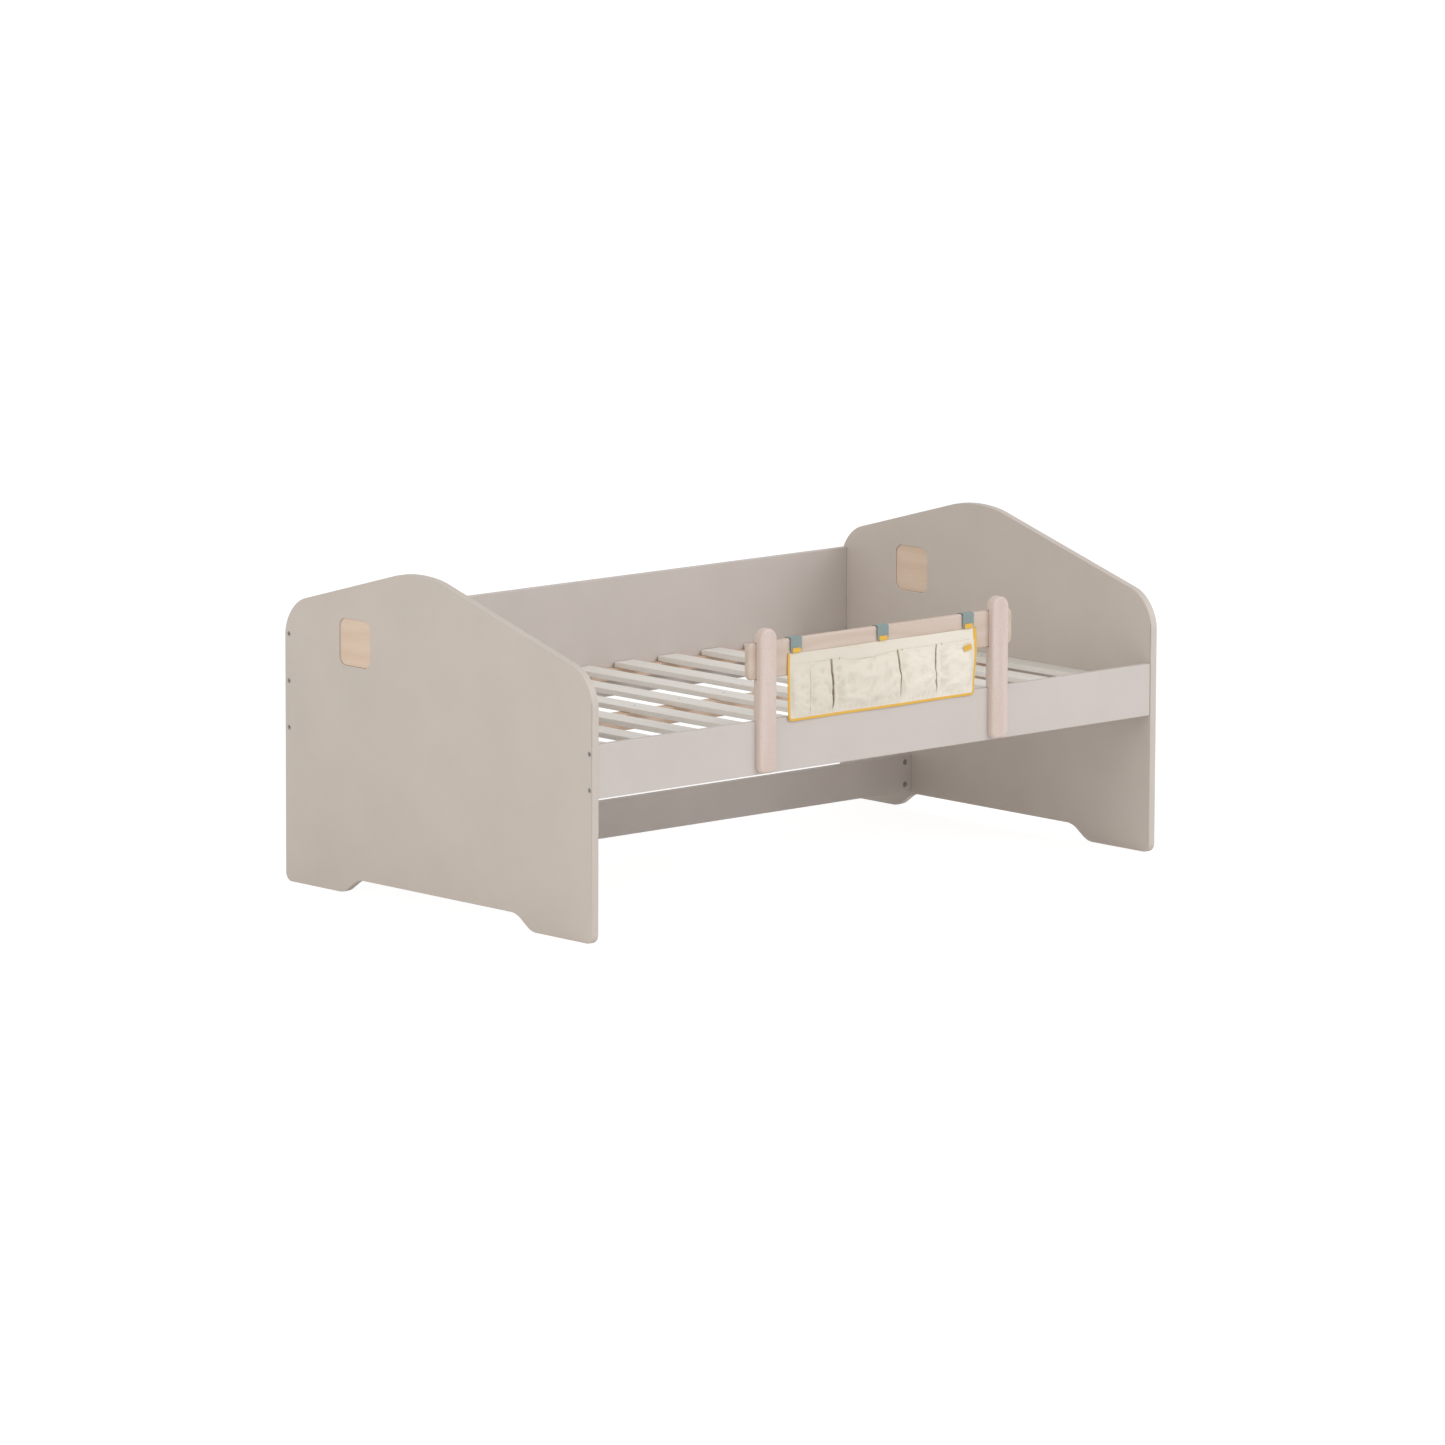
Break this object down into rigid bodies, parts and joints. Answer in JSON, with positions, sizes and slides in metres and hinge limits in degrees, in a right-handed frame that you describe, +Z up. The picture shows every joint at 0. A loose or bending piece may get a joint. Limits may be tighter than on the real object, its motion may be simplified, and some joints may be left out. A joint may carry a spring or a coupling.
{
  "type": "toddler bed",
  "caption": "Child's bed with house-shaped end panels, slatted deck, side rail, back panel, lift-off wooden guard rail and a hanging cloth organizer.",
  "frame": {"origin": "on the floor, under the middle of the whole bed", "axes": "+X along the bed's length, +Y from the open front with the guard rail towards the back panel, +Z up"},
  "size_m": [2.08, 1.2632, 0.8987],
  "materials": {
    "greige_lacquer": "matte lacquered board",
    "birch_inlay": "satin birch veneer",
    "beech": "pale satin beech",
    "slat_wood": "pale sanded wood",
    "pine": "raw sanded pine",
    "zinc_steel": "satin zinc",
    "canvas": "plain cotton canvas",
    "mustard_tape": "cotton twill tape",
    "grey_green_webbing": "woven webbing"
  },
  "bodies": {
    "bed_frame": {"left_end_panel": "greige_lacquer", "left_window_inlay": "birch_inlay", "right_end_panel": "greige_lacquer", "right_window_inlay": "birch_inlay", "front_side_rail": "greige_lacquer", "back_panel": "greige_lacquer", "lower_stretcher": "greige_lacquer", "front_cleat": "pine", "rear_cleat": "pine", "centre_beam": "pine", "left_beam_hanger": "zinc_steel", "right_beam_hanger": "zinc_steel", "slat_01": "slat_wood", "slat_02": "slat_wood", "slat_03": "slat_wood", "slat_04": "slat_wood", "slat_05": "slat_wood", "slat_06": "slat_wood", "slat_07": "slat_wood", "slat_08": "slat_wood", "slat_09": "slat_wood", "slat_10": "slat_wood", "slat_11": "slat_wood", "slat_12": "slat_wood", "slat_13": "slat_wood", "left_rail_bolt_1": "zinc_steel", "left_rail_bolt_2": "zinc_steel", "left_back_bolt_1": "zinc_steel", "left_back_bolt_2": "zinc_steel", "left_back_bolt_3": "zinc_steel", "left_cam_lock_1": "zinc_steel", "left_cam_lock_2": "zinc_steel", "left_cam_dowel_1": "zinc_steel", "left_cam_dowel_2": "zinc_steel", "right_rail_bolt_1": "zinc_steel", "right_rail_bolt_2": "zinc_steel", "right_back_bolt_1": "zinc_steel", "right_back_bolt_2": "zinc_steel", "right_back_bolt_3": "zinc_steel", "right_cam_lock_1": "zinc_steel", "right_cam_lock_2": "zinc_steel", "right_cam_dowel_1": "zinc_steel", "right_cam_dowel_2": "zinc_steel"},
    "guard": {"left_guard_post": "beech", "right_guard_post": "beech", "guard_board": "beech", "left_guard_screw_1": "zinc_steel", "left_guard_screw_2": "zinc_steel", "right_guard_screw_1": "zinc_steel", "right_guard_screw_2": "zinc_steel", "left_guard_pin": "zinc_steel", "right_guard_pin": "zinc_steel"},
    "organizer": {"organizer_back": "canvas", "organizer_pockets": "canvas", "organizer_binding": "mustard_tape", "left_strap": "grey_green_webbing", "middle_strap": "grey_green_webbing", "right_strap": "grey_green_webbing", "organizer_tag": "mustard_tape"}
  },
  "joints": [
    {"name": "guard_lift", "type": "slide", "parent": "bed_frame", "child": "guard", "axis": [0, 0, 1], "range_m": [0, 0.15]},
    {"name": "organizer_slide", "type": "slide", "parent": "guard", "child": "organizer", "axis": [1, 0, 0], "range_m": [-0.045, 0.045]}
  ]
}
